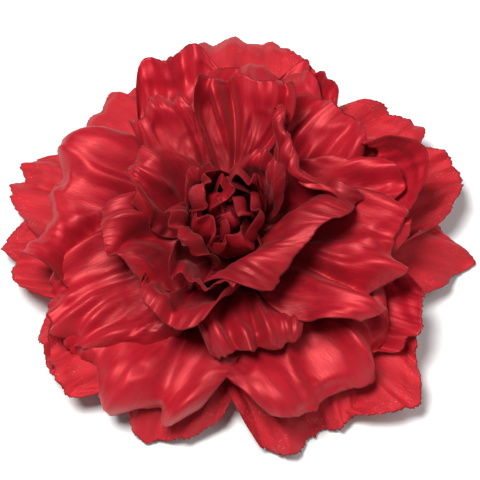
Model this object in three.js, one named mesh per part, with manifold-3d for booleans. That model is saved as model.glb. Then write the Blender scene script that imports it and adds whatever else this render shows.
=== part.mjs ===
// Flower hair clip: a large satin peony on a felt-backed, sprung steel alligator clip.
// Millimetres, +Z up. The flower lies face up on its back, z = 0 is the surface it lies on,
// +Y is the flower's top as it is worn and the clip runs along X with its jaws at +X.

import * as THREE from 'three';
import { mergeVertices } from 'three/addons/utils/BufferGeometryUtils.js';
import Module from 'manifold-3d';

const wasm = await Module();
wasm.setup();

// ---- Driving sizes -------------------------------------------------------------------------

// clearances
const GLUE_GAP = 0.3; // between two pieces that are glued or laid face to face
const PIN_CLEARANCE = 0.3; // between the hinge pin and its holes, all round
const EAR_CLEARANCE = 0.3; // between the jaw's ears and the arm's ears

// clip
const HANDLE_LENGTH = 19; // pin to the end of the handle
const JAW_LENGTH = 38; // pin to the tip of the jaws
const LEAF_WIDTH = 8;
const LEAF_THICKNESS = 0.8;
const HAIR_GAP = 5; // clear height between the arm and the flat stretch of the jaw
const HANDLE_DROP = 4.4; // how far the handle's end lies below the flat stretch
const HANDLE_BEND = 3; // pin to the bend where the handle starts
const FLAT_LENGTH = 21; // pin to the end of the jaw's flat stretch
const LIP_LENGTH = 4; // level stretch at the jaw's tip
const TOOTH_HEIGHT = 0.9;
const TOOTH_COUNT = 8;
const TEETH_START = 24; // pin to the first tooth
const EAR_RADIUS = 2.2;
const PIN_RADIUS = 0.9;
const PIN_HEAD_RADIUS = 1.6;
const PIN_HEAD_THICKNESS = 0.6;
const PIN_X = -7; // the pin's place along the clip, so that the clip sits under the flower's middle

// torsion spring
const WIRE_RADIUS = 0.35;
const COIL_RADIUS = 1.6; // pin's axis to the middle of the wire
const COIL_PITCH = 1.0;
const COIL_TURNS = 3.5;
const SPRING_LEG = 12; // pin to the end of each leg

// backing and stem
const FELT_RADIUS = 23;
const FELT_THICKNESS = 2;
const FELT_FACE_RING = 12; // radius of the ring that parts the felt's clear outer face from its middle
const PEG_RADIUS = 3;
const PEG_FLANGE_RADIUS = 9;
const PEG_FLANGE_THICKNESS = 1;
const COLLAR_RADIUS = 7.5;
const COLLAR_THICKNESS = 0.8;
const CORE_RADIUS = 5;
const CORE_HEIGHT = 19;

// petals
const PETAL_THICKNESS = 0.6;
const TIP_ROUNDING = 0.24; // how much shorter a petal's sides are than its middle
const STEPS_ALONG = 7;
const STEPS_ACROSS = 4;

// Each whorl, from the back of the flower to the bud: the turn of each petal about the axis, half
// the angle that a petal covers, the radius of the flat feet between the collars, the reach of the
// tips from the axis, their rise above the feet, the slope of the tips, and the pull of the curve
// at the foot and at the tip. Angles are in degrees.
const WHORLS = [
  {
    name: 'back_petal', finish: 'mattSatin', turns: [5, 40, 87, 131, 171, 212, 257, 317],
    halfAngle: 16.5, seat: 8.5, reach: 78, rise: -14.9, slope: -38, footPull: 26, tipPull: 26,
  },
  {
    name: 'rear_petal', finish: 'mattSatin', turns: [21, 63, 102, 152, 222, 291, 338],
    halfAngle: 17.5, seat: 8.5, reach: 75, rise: -0.2, slope: -14, footPull: 24, tipPull: 24,
  },
  {
    name: 'wide_petal', finish: 'satin', turns: [22, 98, 170, 240, 301],
    halfAngle: 28, seat: 8.5, reach: 64, rise: 14.8, slope: 12, footPull: 24, tipPull: 20,
  },
  {
    name: 'cup_petal', finish: 'satin', turns: [5, 56, 116, 202, 282],
    halfAngle: 24, seat: 8.5, reach: 52, rise: 25.8, slope: 42, footPull: 20, tipPull: 18,
  },
  {
    name: 'ruffle_petal', finish: 'satin', turns: [36, 86, 150, 205, 262, 330],
    halfAngle: 23, seat: 8.5, reach: 39, rise: 31.8, slope: 62, footPull: 16, tipPull: 16,
  },
  {
    name: 'inner_petal', finish: 'satin', turns: [0, 62, 134, 206, 285],
    halfAngle: 29, seat: 8.5, reach: 26, rise: 32.8, slope: 78, footPull: 10, tipPull: 16,
  },
  {
    name: 'bud_outer_petal', finish: 'deepSatin', turns: [0, 72, 144, 216, 288],
    halfAngle: 31, seat: 8.5, reach: 15, rise: 29.8, slope: 92, footPull: 5, tipPull: 14,
  },
  {
    name: 'bud_inner_petal', finish: 'deepSatin', turns: [25, 115, 205, 295],
    halfAngle: 38, seat: 5.6, reach: 8.2, rise: 24.8, slope: 94, footPull: 2.6, tipPull: 10,
  },
];

// ---- Sizes that follow from them -----------------------------------------------------------

const FLAT_UNDERSIDE = HANDLE_DROP;
const FLAT_TOP = FLAT_UNDERSIDE + LEAF_THICKNESS;
const ARM_UNDERSIDE = FLAT_TOP + HAIR_GAP;
const ARM_TOP = ARM_UNDERSIDE + LEAF_THICKNESS;
const PIN = new THREE.Vector2(PIN_X, (FLAT_TOP + ARM_UNDERSIDE) / 2); // in X and Z

const HANDLE_END_X = PIN_X - HANDLE_LENGTH;
const TIP_X = PIN_X + JAW_LENGTH;
const LIP_TOP = ARM_UNDERSIDE - GLUE_GAP - TOOTH_HEIGHT;

const INNER_EAR_FACE = LEAF_WIDTH / 2 - LEAF_THICKNESS;
const OUTER_EAR_FACE = LEAF_WIDTH / 2 + EAR_CLEARANCE;
const OUTER_EAR_SIDE = OUTER_EAR_FACE + LEAF_THICKNESS;

const FELT_UNDERSIDE = ARM_TOP + GLUE_GAP;
const FELT_TOP = FELT_UNDERSIDE + FELT_THICKNESS;
const FLANGE_UNDERSIDE = FELT_TOP + GLUE_GAP;
const FLANGE_TOP = FLANGE_UNDERSIDE + PEG_FLANGE_THICKNESS;
const LAYER = PETAL_THICKNESS + COLLAR_THICKNESS + 2 * GLUE_GAP; // one whorl and its collar
const FIRST_FOOT = FLANGE_TOP + GLUE_GAP + PETAL_THICKNESS / 2;
const PEG_TOP = FIRST_FOOT + (WHORLS.length - 1) * LAYER + PETAL_THICKNESS / 2 + GLUE_GAP;
const PETAL_FOOT_RADIUS = PEG_RADIUS + GLUE_GAP;

// ---- Materials -----------------------------------------------------------------------------

const MATERIALS = {
  mattSatin: new THREE.MeshStandardMaterial({ color: 0xc01a2a, roughness: 0.75, metalness: 0 }),
  satin: new THREE.MeshStandardMaterial({ color: 0xb81528, roughness: 0.42, metalness: 0 }),
  deepSatin: new THREE.MeshStandardMaterial({ color: 0x9c0f20, roughness: 0.45, metalness: 0 }),
  felt: new THREE.MeshStandardMaterial({ color: 0x8a101c, roughness: 0.95, metalness: 0 }),
  plastic: new THREE.MeshStandardMaterial({ color: 0x6d1018, roughness: 0.6, metalness: 0 }),
  wadding: new THREE.MeshStandardMaterial({ color: 0x7d0d1a, roughness: 0.95, metalness: 0 }),
  steel: new THREE.MeshStandardMaterial({ color: 0xb9bcc0, roughness: 0.3, metalness: 1 }),
};

const flower = new THREE.Group();

function addPiece(name, geometry, material, turn = 0) {
  const mesh = new THREE.Mesh(geometry, material);
  mesh.name = name;
  mesh.rotation.z = turn;
  flower.add(mesh);
}

// ---- Joining and cutting -------------------------------------------------------------------

function toSolid(geometry) {
  const bare = geometry.clone();
  bare.deleteAttribute('normal');
  bare.deleteAttribute('uv');
  const merged = mergeVertices(bare);
  return new wasm.Manifold(new wasm.Mesh({
    numProp: 3,
    vertProperties: new Float32Array(merged.attributes.position.array),
    triVerts: new Uint32Array(merged.index.array),
  }));
}

function toGeometry(solid) {
  const mesh = solid.getMesh();
  const geometry = new THREE.BufferGeometry();
  geometry.setAttribute('position', new THREE.BufferAttribute(mesh.vertProperties, 3));
  geometry.setIndex(new THREE.BufferAttribute(mesh.triVerts, 1));
  geometry.computeVertexNormals();
  return geometry;
}

// ---- Clip ----------------------------------------------------------------------------------

// A side outline in the X-Z plane, as a plate from one Y to another.
function sidePlate(shape, fromY, toY) {
  const geometry = new THREE.ExtrudeGeometry(shape, {
    depth: toY - fromY,
    bevelEnabled: false,
    curveSegments: 10,
  });
  geometry.rotateX(Math.PI / 2);
  geometry.translate(0, toY, 0);
  return geometry;
}

function bar(fromX, toX, fromY, toY, fromZ, toZ) {
  const geometry = new THREE.BoxGeometry(toX - fromX, toY - fromY, toZ - fromZ);
  geometry.translate((fromX + toX) / 2, (fromY + toY) / 2, (fromZ + toZ) / 2);
  return geometry;
}

// The side outline of a sheet-metal leaf that follows the middle line through the given corners.
function leafOutline(corners) {
  const half = LEAF_THICKNESS / 2;
  const above = [];
  const below = [];
  corners.forEach((corner, i) => {
    const arriving = corner.clone().sub(corners[Math.max(i - 1, 0)]).normalize();
    const leaving = corners[Math.min(i + 1, corners.length - 1)].clone().sub(corner).normalize();
    const along = arriving.clone().add(leaving).normalize();
    const mitre = half / along.dot(i === 0 ? leaving : arriving);
    above.push(new THREE.Vector2(corner.x - along.y * mitre, corner.y + along.x * mitre));
    below.push(new THREE.Vector2(corner.x + along.y * mitre, corner.y - along.x * mitre));
  });
  return new THREE.Shape([...below, ...above.reverse()]);
}

// An ear: a round tab about the pin, with a straight root that reaches the leaf at rootZ.
function earOutline(rootZ) {
  const shape = new THREE.Shape();
  const up = rootZ < PIN.y;
  shape.moveTo(PIN.x + EAR_RADIUS, rootZ);
  shape.lineTo(PIN.x + EAR_RADIUS, PIN.y);
  shape.absarc(PIN.x, PIN.y, EAR_RADIUS, 0, up ? Math.PI : -Math.PI, !up);
  shape.lineTo(PIN.x - EAR_RADIUS, rootZ);
  shape.closePath();
  return shape;
}

function pinHole() {
  const hole = new THREE.CylinderGeometry(PIN_RADIUS + PIN_CLEARANCE, PIN_RADIUS + PIN_CLEARANCE,
    2 * (OUTER_EAR_SIDE + 1), 16);
  hole.translate(PIN.x, 0, PIN.y);
  return hole;
}

function upperArm() {
  const nearEars = bar(PIN.x - EAR_RADIUS, PIN.x + EAR_RADIUS, -OUTER_EAR_SIDE, OUTER_EAR_SIDE,
    ARM_UNDERSIDE, ARM_TOP);
  let solid = toSolid(bar(HANDLE_END_X, TIP_X, -LEAF_WIDTH / 2, LEAF_WIDTH / 2, ARM_UNDERSIDE, ARM_TOP))
    .add(toSolid(nearEars));
  const ear = earOutline(ARM_TOP);
  for (const [fromY, toY] of [[OUTER_EAR_FACE, OUTER_EAR_SIDE], [-OUTER_EAR_SIDE, -OUTER_EAR_FACE]]) {
    solid = solid.add(toSolid(sidePlate(ear, fromY, toY)));
  }
  return toGeometry(solid.subtract(toSolid(pinHole())));
}

// The toothed flange along one edge of the jaw's front stretch.
function teethOutline(lipMiddle, riseEnd) {
  const start = PIN.x + TEETH_START;
  const pitch = (TIP_X - start) / TOOTH_COUNT;
  const shape = new THREE.Shape();
  shape.moveTo(TIP_X, lipMiddle);
  for (let i = TOOTH_COUNT; i > 0; i -= 1) {
    shape.lineTo(start + i * pitch, LIP_TOP);
    shape.lineTo(start + (i - 0.5) * pitch, LIP_TOP + TOOTH_HEIGHT);
  }
  const riseStart = PIN.x + FLAT_LENGTH;
  const slope = (lipMiddle - (FLAT_TOP - LEAF_THICKNESS / 2)) / (riseEnd - riseStart);
  shape.lineTo(start, LIP_TOP);
  shape.lineTo(start, FLAT_TOP - LEAF_THICKNESS / 2 + slope * (start - riseStart));
  shape.lineTo(riseEnd, lipMiddle);
  shape.closePath();
  return shape;
}

function lowerJaw() {
  const flatMiddle = FLAT_TOP - LEAF_THICKNESS / 2;
  const lipMiddle = LIP_TOP - LEAF_THICKNESS / 2;
  const riseEnd = TIP_X - LIP_LENGTH;
  const leaf = leafOutline([
    new THREE.Vector2(HANDLE_END_X, LEAF_THICKNESS / 2),
    new THREE.Vector2(PIN.x - HANDLE_BEND, flatMiddle),
    new THREE.Vector2(PIN.x + FLAT_LENGTH, flatMiddle),
    new THREE.Vector2(riseEnd, lipMiddle),
    new THREE.Vector2(TIP_X, lipMiddle),
  ]);
  let solid = toSolid(sidePlate(leaf, -LEAF_WIDTH / 2, LEAF_WIDTH / 2));
  const ear = earOutline(flatMiddle);
  const teeth = teethOutline(lipMiddle, riseEnd);
  for (const [fromY, toY] of [[INNER_EAR_FACE, LEAF_WIDTH / 2], [-LEAF_WIDTH / 2, -INNER_EAR_FACE]]) {
    solid = solid.add(toSolid(sidePlate(ear, fromY, toY)));
    solid = solid.add(toSolid(sidePlate(teeth, fromY, toY)));
  }
  return toGeometry(solid.subtract(toSolid(pinHole())));
}

function hingePin() {
  const neck = OUTER_EAR_SIDE + GLUE_GAP;
  const end = neck + PIN_HEAD_THICKNESS;
  const profile = [
    [0, -end], [PIN_HEAD_RADIUS, -end], [PIN_HEAD_RADIUS, -neck], [PIN_RADIUS, -neck],
    [PIN_RADIUS, neck], [PIN_HEAD_RADIUS, neck], [PIN_HEAD_RADIUS, end], [0, end],
  ].map(([r, y]) => new THREE.Vector2(r, y));
  const geometry = new THREE.LatheGeometry(profile, 16);
  geometry.translate(PIN.x, 0, PIN.y);
  return geometry;
}

// The wire starts at the end of the leg under the arm, winds round the pin and ends along the handle.
function torsionSpring() {
  const coilHalf = COIL_PITCH * COIL_TURNS / 2;
  const legRest = WIRE_RADIUS + GLUE_GAP;
  const handleSlope = HANDLE_DROP / (HANDLE_LENGTH - HANDLE_BEND);
  const handleTopAt = (x) => FLAT_TOP + (x - (PIN.x - HANDLE_BEND)) * handleSlope;
  const points = [
    new THREE.Vector3(PIN.x - SPRING_LEG, -coilHalf, ARM_UNDERSIDE - legRest),
    new THREE.Vector3(PIN.x - SPRING_LEG / 2, -coilHalf, ARM_UNDERSIDE - legRest),
  ];
  const stepsPerTurn = 10;
  const steps = COIL_TURNS * stepsPerTurn;
  for (let i = 0; i <= steps; i += 1) {
    const angle = Math.PI / 2 - i * 2 * Math.PI / stepsPerTurn;
    points.push(new THREE.Vector3(
      PIN.x + COIL_RADIUS * Math.cos(angle),
      -coilHalf + i * COIL_PITCH / stepsPerTurn,
      PIN.y + COIL_RADIUS * Math.sin(angle),
    ));
  }
  for (const x of [PIN.x - SPRING_LEG * 0.6, PIN.x - SPRING_LEG]) {
    points.push(new THREE.Vector3(x, coilHalf, handleTopAt(x) + legRest + GLUE_GAP / 2));
  }
  const route = new THREE.CatmullRomCurve3(points);
  const section = new THREE.Shape();
  section.absarc(0, 0, WIRE_RADIUS, 0, 2 * Math.PI);
  return new THREE.ExtrudeGeometry(section, {
    steps: 52,
    curveSegments: 3,
    extrudePath: route,
    bevelEnabled: false,
  });
}

// ---- Backing, stem and bud core ------------------------------------------------------------

// A solid of revolution about +Z from a profile of [radius, height] corners.
function turned(corners, segments) {
  const profile = corners.map(([r, z]) => new THREE.Vector2(r, z));
  const geometry = new THREE.LatheGeometry(profile, segments);
  geometry.rotateX(Math.PI / 2);
  return geometry;
}

function feltBacking() {
  return turned([
    [0, FELT_UNDERSIDE], [FELT_FACE_RING, FELT_UNDERSIDE], [FELT_RADIUS, FELT_UNDERSIDE],
    [FELT_RADIUS, FELT_TOP], [0, FELT_TOP],
  ], 24);
}

function stemPeg() {
  return turned([
    [0, FLANGE_UNDERSIDE], [PEG_FLANGE_RADIUS, FLANGE_UNDERSIDE], [PEG_FLANGE_RADIUS, FLANGE_TOP],
    [PEG_RADIUS, FLANGE_TOP], [PEG_RADIUS, PEG_TOP], [0, PEG_TOP],
  ], 20);
}

function collar(layer) {
  const underside = FIRST_FOOT + layer * LAYER + PETAL_THICKNESS / 2 + GLUE_GAP;
  const outer = Math.min(COLLAR_RADIUS, WHORLS[layer + 1].seat - 1);
  const inner = PEG_RADIUS + GLUE_GAP;
  return turned([
    [inner, underside], [outer, underside], [outer, underside + COLLAR_THICKNESS],
    [inner, underside + COLLAR_THICKNESS], [inner, underside],
  ], 16);
}

function budCore() {
  const middle = PEG_TOP + GLUE_GAP + CORE_HEIGHT / 2;
  const steps = 8;
  const profile = [];
  for (let i = 0; i <= steps; i += 1) {
    const angle = Math.PI * (i / steps - 0.5);
    const radius = i === 0 || i === steps ? 0 : CORE_RADIUS * Math.cos(angle);
    profile.push([radius, middle + CORE_HEIGHT / 2 * Math.sin(angle)]);
  }
  return turned(profile, 14);
}

// ---- Petals --------------------------------------------------------------------------------

// The curve from the flat foot to the tip, in radius and height.
function petalProfile(whorl, footHeight) {
  const slope = THREE.MathUtils.degToRad(whorl.slope);
  const seat = new THREE.Vector2(whorl.seat, footHeight);
  const tip = new THREE.Vector2(whorl.reach, footHeight + whorl.rise);
  const profile = new THREE.CurvePath();
  profile.add(new THREE.LineCurve(new THREE.Vector2(PETAL_FOOT_RADIUS, footHeight), seat));
  profile.add(new THREE.CubicBezierCurve(
    seat,
    new THREE.Vector2(seat.x + whorl.footPull, seat.y),
    new THREE.Vector2(tip.x - whorl.tipPull * Math.cos(slope), tip.y - whorl.tipPull * Math.sin(slope)),
    tip,
  ));
  return profile;
}

// A petal is a thin plate that is wrapped round the axis on its whorl's curve.
function petalGeometry(whorl, footHeight) {
  const profile = petalProfile(whorl, footHeight);
  const halfAngle = THREE.MathUtils.degToRad(whorl.halfAngle);
  const geometry = new THREE.BoxGeometry(1, 2, 1, STEPS_ALONG, STEPS_ACROSS, 1);
  const place = geometry.attributes.position;
  for (let i = 0; i < place.count; i += 1) {
    const across = place.getY(i);
    const along = (place.getX(i) + 0.5) * (1 - TIP_ROUNDING * across * across);
    const lift = place.getZ(i) * PETAL_THICKNESS;
    const point = profile.getPointAt(along);
    const tangent = profile.getTangentAt(along);
    const radius = point.x - lift * tangent.y;
    const angle = across * halfAngle;
    place.setXYZ(i, radius * Math.cos(angle), radius * Math.sin(angle), point.y + lift * tangent.x);
  }
  geometry.computeVertexNormals();
  return geometry;
}

// ---- Assembly ------------------------------------------------------------------------------

addPiece('clip_upper_arm', upperArm(), MATERIALS.steel);
addPiece('clip_lower_jaw', lowerJaw(), MATERIALS.steel);
addPiece('hinge_pin', hingePin(), MATERIALS.steel);
addPiece('torsion_spring', torsionSpring(), MATERIALS.steel);
addPiece('felt_backing', feltBacking(), MATERIALS.felt);
addPiece('stem_peg', stemPeg(), MATERIALS.plastic);
addPiece('bud_core', budCore(), MATERIALS.wadding);

WHORLS.forEach((whorl, layer) => {
  const geometry = petalGeometry(whorl, FIRST_FOOT + layer * LAYER);
  whorl.turns.forEach((turn, i) => {
    addPiece(`${whorl.name}_${i + 1}`, geometry, MATERIALS[whorl.finish], THREE.MathUtils.degToRad(turn));
  });
  if (layer < WHORLS.length - 1) {
    addPiece(`collar_${layer + 1}`, collar(layer), MATERIALS.plastic);
  }
});

export default flower;
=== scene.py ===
"""Looks of the flower hair clip: formed satin petals, felt backing, stem and sprung steel clip."""

import math
from dataclasses import dataclass

import bmesh
import bpy
import numpy as np
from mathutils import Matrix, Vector
from mathutils.bvhtree import BVHTree


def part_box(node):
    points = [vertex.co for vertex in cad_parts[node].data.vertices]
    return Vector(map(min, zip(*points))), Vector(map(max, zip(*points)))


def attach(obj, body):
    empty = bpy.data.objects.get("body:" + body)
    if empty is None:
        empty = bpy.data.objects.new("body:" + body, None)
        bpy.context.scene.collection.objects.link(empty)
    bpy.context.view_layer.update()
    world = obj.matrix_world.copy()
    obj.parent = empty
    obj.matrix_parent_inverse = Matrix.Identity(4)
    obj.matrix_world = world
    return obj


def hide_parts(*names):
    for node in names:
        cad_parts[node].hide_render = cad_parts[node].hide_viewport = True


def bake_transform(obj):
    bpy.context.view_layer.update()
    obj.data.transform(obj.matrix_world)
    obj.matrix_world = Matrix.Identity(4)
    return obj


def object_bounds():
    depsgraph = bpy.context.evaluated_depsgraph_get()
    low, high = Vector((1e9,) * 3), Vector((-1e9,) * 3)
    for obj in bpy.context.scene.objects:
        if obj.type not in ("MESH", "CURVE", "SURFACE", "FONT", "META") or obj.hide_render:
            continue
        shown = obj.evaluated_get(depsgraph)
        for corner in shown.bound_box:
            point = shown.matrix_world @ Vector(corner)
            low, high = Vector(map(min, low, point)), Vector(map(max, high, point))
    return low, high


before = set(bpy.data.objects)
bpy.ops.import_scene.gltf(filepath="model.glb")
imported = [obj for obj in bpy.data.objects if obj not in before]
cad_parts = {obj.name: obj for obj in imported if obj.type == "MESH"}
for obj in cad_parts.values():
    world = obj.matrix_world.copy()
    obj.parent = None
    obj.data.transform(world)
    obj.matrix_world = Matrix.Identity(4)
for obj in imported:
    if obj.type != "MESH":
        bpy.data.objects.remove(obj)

bl_info = {
    "name": "Satin Peony Hair Clip",
    "version": (1, 0, 0),
    "blender": (4, 5, 0),
    "location": "3D View > Sidebar > Peony Clip",
    "description": "Builds a satin peony on a felt-backed alligator clip",
    "category": "Object",
}

MM = 0.001
UV_PER_MM = 0.01      # a petal's flat coordinates, in units of 100 mm
CAD_BOX = [list(corner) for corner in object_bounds()]
FELT_LOW, FELT_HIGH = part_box("felt_backing")
FLOWER_BODY = "flower"
JAW_BODY = "jaw"


# ---- Petal shapes ---------------------------------------------------------------------------

@dataclass
class Petal:
    """One petal's cut and set. Millimetres and degrees, in the flower's frame."""
    name: str            # the piece that it stands for
    turn: float          # direction of the petal about the flower's axis
    reach: float         # axis to tip
    tip: float           # height of the tip above the table
    width: float
    slope: float = 0.0   # rise of the tip
    foot: float = 20.0   # height of the foot on the stem
    foot_pull: float = 22.0
    tip_pull: float = 20.0
    cup: float = 25.0    # how far the sides turn up
    curl: float = 0.0    # how far the rim rolls, negative for backwards
    curl_from: float = 0.7
    left: float = 0.0    # roll of the edge on the clockwise side, negative for backwards
    right: float = 0.0   # roll of the edge on the other side
    sway: float = 0.0    # sideways drift of the tip
    twist: float = 0.0
    round: float = 0.3   # how much shorter the sides are than the middle
    notch: float = 0.0   # depth of the dip in the rim
    notch_at: float = 0.0
    scallop: float = 0.0  # depth of the lobes in the outline
    ruffle: float = 1.6  # depth of the waves along the rim
    waves: float = 2.2   # waves across the rim
    crimp: float = 0.3   # depth of the short waves right at the rim
    pleat: float = 0.0   # depth of the folds that run from foot to rim
    pleats: float = 6.0
    folds: tuple = ()    # single folds: where at the foot and at the rim, width, height
    ridges: int = 8      # long narrow ridges that fan out from the gathered foot
    ridge: float = 1.3   # their height
    welt: float = 0.9    # height of the fold that runs along the rim
    crease: float = 0.42  # depth of the sharp creases
    crumple: float = 0.5  # depth of the soft unevenness
    serration: float = 0.12
    shoulder: float = 0.62  # where along the petal it is widest
    neck: float = 0.2    # width at the foot as a share of the width
    waist: float = 0.85  # how long the petal stays narrow above its foot
    finish: str = "satin"


FOOT_RADIUS = 4.0      # mm, axis to the gathered foot
ROLL_FROM = 0.55       # share of the half width past which an edge rolls
GATHER = 40            # degrees that the foot closes round the stem
FLUTTER = 1.35         # waves along the rim, against the petal's own ruffle
RIDGED_WIDTH = 50      # mm, a petal of this width has all its ridges
CUT_SHARE = 0.94       # flat area as a share of the strips that are added up


def smooth(x):
    """Eases from 0 to 1."""
    x = np.clip(x, 0.0, 1.0)
    return x * x * (3 - 2 * x)

def hump(x, width):
    """A rounded rise about zero, 1 at its top."""
    return np.exp(-(x / width) ** 2)


def sine_noise(seed, x, y, scale=1.0, terms=7):
    """Smooth seeded noise of two coordinates, about -1 to 1."""
    rng = np.random.RandomState(seed)
    total = np.zeros(np.broadcast(x, y).shape)
    for _ in range(terms):
        angle = rng.uniform(0, 2 * math.pi)
        rate = scale * rng.uniform(0.6, 1.7)
        phase = rng.uniform(0, 2 * math.pi)
        along = x * math.cos(angle) + y * math.sin(angle)
        total = total + np.sin(2 * math.pi * rate * along + phase)
    return total / math.sqrt(terms)


def spine_angles(petal, steps=240):
    """Direction of the petal's middle line at even steps along it, and its length."""
    slope = math.radians(petal.slope)
    p0 = np.array([FOOT_RADIUS, petal.foot])
    p1 = p0 + [petal.foot_pull, 0]
    p3 = np.array([petal.reach, petal.tip])
    p2 = p3 - petal.tip_pull * np.array([math.cos(slope), math.sin(slope)])
    t = np.linspace(0, 1, steps)[:, None]
    line = (1 - t) ** 3 * p0 + 3 * (1 - t) ** 2 * t * p1 + 3 * (1 - t) * t ** 2 * p2 + t ** 3 * p3
    step = np.diff(line, axis=0)
    lengths = np.hypot(step[:, 0], step[:, 1])
    angles = np.unwrap(np.arctan2(step[:, 1], step[:, 0]))
    at = (np.cumsum(lengths) - lengths / 2) / lengths.sum()
    return at, angles, lengths.sum()


def petal_grid(petal, seed, rows, cols):
    """A petal's points (rows, cols, 3), the way behind it, its flat coordinates, its distance to the
    rim, its length and its flat area, in mm."""
    def noise(step, x, y, scale=1.0, terms=7):
        return sine_noise(seed + step, x, y, scale, terms)

    # The outline: u runs from foot to rim, v from side to side, s along the middle line.
    u = np.linspace(0, 1, rows)[:, None]
    v = np.linspace(-1, 1, cols)[None, :]
    side, level = np.abs(v), 0 * v
    at, angles, spine = spine_angles(petal)
    length = 1 - petal.round * side ** 2.6 + 0.035 * noise(0, v, level, 0.9)
    length = length - petal.notch * hump(v - petal.notch_at, 0.16)
    lobes = np.abs(np.sin(math.pi * petal.waves * v + seed)) - 0.6
    length = length + petal.scallop / spine * lobes * (1 - 0.5 * side)
    length = length + petal.serration / spine * noise(1, v, level, spine * 0.3, 9)
    s = u * length

    # The middle line, and the rim's curl.
    base = np.interp(s, at, angles)
    roll = petal.curl * (1 + 0.35 * noise(2, v, level, 0.7))
    path = base + np.radians(roll) * smooth((u - petal.curl_from) / (1 - petal.curl_from)) ** 1.3
    step = length * spine / (rows - 1)
    start = np.zeros((1, cols))
    r = FOOT_RADIUS + np.vstack([start, np.cumsum(np.cos(path[1:]) * step, axis=0)])
    z = petal.foot + np.vstack([start, np.cumsum(np.sin(path[1:]) * step, axis=0)])

    # The half width at each row.
    grow = np.sin(0.5 * math.pi * np.clip(s / petal.shoulder, 0, 1)) ** petal.waist
    shape = petal.neck + (1 - petal.neck) * grow
    shape = shape * (1 - 0.16 * np.clip((s - petal.shoulder) / (1 - petal.shoulder), 0, 1) ** 2)
    half = petal.width / 2 * shape * (1 + 0.05 * noise(3, s, np.sign(v), 1.3) * side ** 3)
    half = half + petal.serration * noise(4, s, np.sign(v), spine * 0.3, 9) * side ** 12

    # Across the petal: the cup and the rolled edges.
    bend = np.radians(petal.cup) * v * (0.6 + 0.4 * smooth(s / 0.6))
    bend = bend + np.radians(GATHER) * v * (1 - smooth(s / 0.4))
    edge = smooth((side - ROLL_FROM) / (1 - ROLL_FROM))
    lift = smooth((u - 0.2) / 0.5) * (1 + 0.4 * noise(9, u, np.sign(v), 1.2))
    bend = bend + np.radians(np.where(v < 0, -petal.left, petal.right)) * edge * lift
    dv = 2.0 / (cols - 1)
    mid = (cols - 1) // 2
    across = np.cumsum(np.cos(bend) * half * dv, axis=1)
    raised = np.cumsum(np.sin(bend) * half * dv, axis=1)
    across = across - across[:, mid:mid + 1]
    raised = raised - raised[:, mid:mid + 1]

    # The relief: waves along the rim, pleats, single folds, ridges, the welt, creases and crimps.
    to_rim = np.minimum((1 - u) * length * spine, (1 - side) * half)
    along, beside = s * spine, half * v
    out = smooth(s / 0.35) * (2 * half / petal.width) ** 0.8
    rim = smooth((u - 0.3) / 0.7) ** 1.3
    flutter = math.pi * petal.waves * v + seed + 1.3 * noise(5, v, u, 0.6)
    raised += FLUTTER * petal.ruffle * rim * (0.45 + 0.55 * side) * np.sin(flutter)
    drift = 0.16 * noise(14, 0.8 * v, 1.4 * s, 0.8)
    pleats = np.sin(math.pi * petal.pleats * (v + drift) + 0.9 * noise(6, v, u, 0.7))
    raised += petal.pleat * pleats * out * smooth(0.6 + 0.7 * noise(7, v, u, 0.9))
    for i, (foot_at, rim_at, wide, high) in enumerate(petal.folds):
        centre = foot_at + (rim_at - foot_at) * s ** 1.4 + drift
        rise = out * (0.75 + 0.4 * noise(20 + i, s, level, 1.1))
        raised += high * hump(v - centre, wide) * rise
    draw = np.random.RandomState(seed + 40)
    for _ in range(round(petal.ridges * petal.width / RIDGED_WIDTH)):
        rim_at, thin, high, begin = draw.uniform((-0.95, 1.5, -0.6, 0.05), (0.95, 4.0, 1.0, 0.5))
        centre = rim_at * (0.35 + 0.65 * s) + 0.8 * drift
        rise = smooth((s - begin) / 0.35) * (0.7 + 0.5 * noise(60, s + rim_at, level, 0.9))
        raised += petal.ridge * high * hump(v - centre, thin / (petal.width / 2)) * rise
    band = 5 + 2 * noise(15, v, u, 0.8)
    welt = petal.welt * hump(to_rim - band, 2.2) * smooth(0.6 + 0.7 * noise(16, v, u, 0.7))
    raised += welt * out
    ridged = 1 - 2 * np.abs(noise(10, (beside + 18 * drift) / 13, along / 20, 1.0, 6))
    patches = smooth(0.4 + 0.8 * noise(13, beside / 22, along / 22, 1.0, 5))
    raised += petal.crease * ridged * patches * out
    raised += petal.crumple * noise(8, along / 34, beside / 26) * out
    raised += 0.25 * petal.crumple * noise(12, along / 13, beside / 11) * out
    ring = math.pi * (beside + np.where(side > 0.8, along, 0)) / 3.4 + 2 * noise(11, v, u, 1.2)
    raised += petal.crimp * np.sin(ring) * np.exp(-to_rim / 4) * out

    # Into the flower's frame.
    turn = np.radians(petal.twist) * u
    t_cross = across * np.cos(turn) - raised * np.sin(turn)
    n_cross = across * np.sin(turn) + raised * np.cos(turn)
    x = r - n_cross * np.sin(path)
    z = z + n_cross * np.cos(path)
    y = t_cross + petal.sway * s ** 2
    a = math.radians(petal.turn)
    cos, sin = math.cos(a), math.sin(a)
    points = np.stack([x * cos - y * sin, x * sin + y * cos, z], axis=2)
    back = np.stack([np.sin(base) * cos, np.sin(base) * sin, -np.cos(base)], axis=2)
    flat = np.stack([beside + 0 * s, along + level], axis=2)
    area = float((2 * half[:, mid] * length[0, mid] * spine / rows).sum()) * CUT_SHARE
    return points, back, flat, to_rim, spine, area


# ---- Setting the petals one behind the other --------------------------------------------------

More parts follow.
